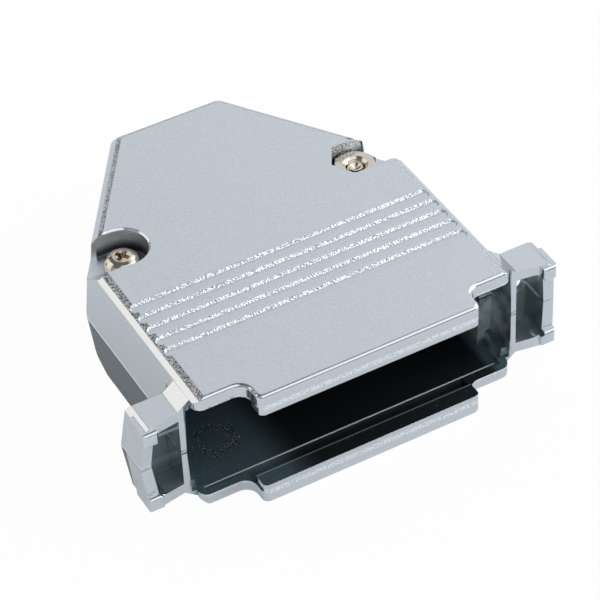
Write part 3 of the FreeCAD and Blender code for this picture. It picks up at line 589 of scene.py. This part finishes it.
# The studio floor is a plain pale sheet. What the camera and the metal see of
# it is partly lifted to white, and the object's shadow stays on it.
FLOOR_HALF = 3.0
FLOOR_UNDER = 0.02 * MM
SEEN_WHITE = 0.97
MIRRORED_WHITE = 0.28
sheet, tree, shader = start_material("pale matt paper")
shader.inputs["Base Color"].default_value = srgb("#EAEFF4")
shader.inputs["Roughness"].default_value = 0.9
path = add(tree, "ShaderNodeLightPath")
white = add(tree, "ShaderNodeEmission", {"Color": srgb("#FFFFFF"), "Strength": 1.0})
seen = add(tree, "ShaderNodeMath", {0: path.outputs["Is Camera Ray"], 1: SEEN_WHITE},
           operation="MULTIPLY").outputs[0]
mirrored = add(tree, "ShaderNodeMath", {0: path.outputs["Is Glossy Ray"],
                                        1: path.outputs["Is Transmission Ray"]},
               operation="MAXIMUM").outputs[0]
white_share = add(tree, "ShaderNodeMath", {0: mirrored, 1: MIRRORED_WHITE, 2: seen},
                  operation="MULTIPLY_ADD").outputs[0]
both = add(tree, "ShaderNodeMixShader", {0: white_share, 1: shader.outputs[0], 2: white.outputs[0]})
tree.links.new(both.outputs[0], next(n for n in tree.nodes if n.type == "OUTPUT_MATERIAL").inputs["Surface"])
work = bmesh.new()
bmesh.ops.create_grid(work, x_segments=1, y_segments=1, size=FLOOR_HALF,
                      matrix=Matrix.Translation((0, 0, -FLOOR_UNDER)))
floor = whole("floor", work)
floor.data.materials.append(sheet)

# Soft studio light: a dim room with pale panels, each a direction, where its
# edge starts and ends as a cosine, and its strength. The top mirrors the first,
# the left-hand edges the second and the fronts of the grooves the third.
ROOM = 0.16
WARM_PANEL = 1
PANELS = (((0.46, 0.65, 0.60), 0.88, 0.95, 0.76),
          ((-0.66, 0.62, 0.40), 0.84, 0.92, 1.1),
          ((0.05, -0.68, 0.73), 0.80, 0.90, 1.1),
          ((-0.90, -0.30, 0.45), 0.85, 0.95, 0.3),
          ((0.90, -0.10, 0.60), 0.75, 0.95, 1.6),
          ((0.90, -0.38, 0.28), 0.93, 0.98, 4.0),
          ((0.40, 0.91, 0.08), 0.94, 0.975, 0.6))
world = bpy.data.worlds.new("studio")
bpy.context.scene.world = world
world.use_nodes = True
tree = world.node_tree
look = add(tree, "ShaderNodeTexCoord").outputs["Generated"]
rise = add(tree, "ShaderNodeSeparateXYZ", {0: look}).outputs["Z"]
over_edge = add(tree, "ShaderNodeMapRange", {0: rise, 1: 0.04, 2: 0.14},
                interpolation_type="SMOOTHSTEP").outputs[0]
light = 0.0
panels = []
for direction, outer, inner, power in PANELS:
    near = add(tree, "ShaderNodeVectorMath", {0: look, 1: Vector(direction).normalized()},
               operation="DOT_PRODUCT").outputs["Value"]
    panel = add(tree, "ShaderNodeMapRange", {0: near, 1: outer, 2: inner, 3: 0.0, 4: power},
                interpolation_type="SMOOTHSTEP").outputs[0]
    light = add(tree, "ShaderNodeMath", {0: panel, 1: light}, operation="ADD").outputs[0]
    panels.append(panel)
studio = add(tree, "ShaderNodeMath", {0: light, 1: over_edge, 2: ROOM}, operation="MULTIPLY_ADD").outputs[0]

# the camera sees the room as white, and mirrors see a trace of that
path = add(tree, "ShaderNodeLightPath")
plain = add(tree, "ShaderNodeMath", {0: path.outputs["Is Camera Ray"],
                                     1: path.outputs["Is Transmission Ray"]},
            operation="MAXIMUM").outputs[0]
plain = add(tree, "ShaderNodeMath", {0: path.outputs["Is Glossy Ray"], 1: 0.02, 2: plain},
            operation="MULTIPLY_ADD").outputs[0]
shown = add(tree, "ShaderNodeMix", {0: plain, 2: studio, 3: 1.0}).outputs[0]
warmth = add(tree, "ShaderNodeMix", {0: panels[WARM_PANEL], 6: srgb("#FAFCFF"), 7: srgb("#FFFAF3")},
             data_type="RGBA").outputs[2]
tree.links.new(warmth, tree.nodes["Background"].inputs["Color"])
tree.links.new(shown, tree.nodes["Background"].inputs["Strength"])

# Camera: the photograph's viewing angle, solved from the hood's own edges, as
# its three directions and its place in mm.
RIGHT = Vector((0.8702568, -0.4910984, -0.0384113))
DOWN = Vector((-0.3543817, -0.5700064, -0.7412869))
FORWARD = Vector((0.3421501, 0.6587223, -0.6700883))
CAMERA_AT = Vector((-144.97, -290.275, 298.84))
camera_data = bpy.data.cameras.new("camera")
camera_data.lens = 171.2
camera_data.sensor_width = 36.0
camera_data.clip_start = 0.01
camera = bpy.data.objects.new("camera", camera_data)
turn = Matrix((RIGHT, -DOWN, -FORWARD)).transposed().to_4x4()
camera.matrix_world = Matrix.Translation(CAMERA_AT * MM) @ turn
bpy.context.scene.collection.objects.link(camera)
bpy.context.scene.camera = camera
bpy.context.scene.view_settings.view_transform = "Standard"
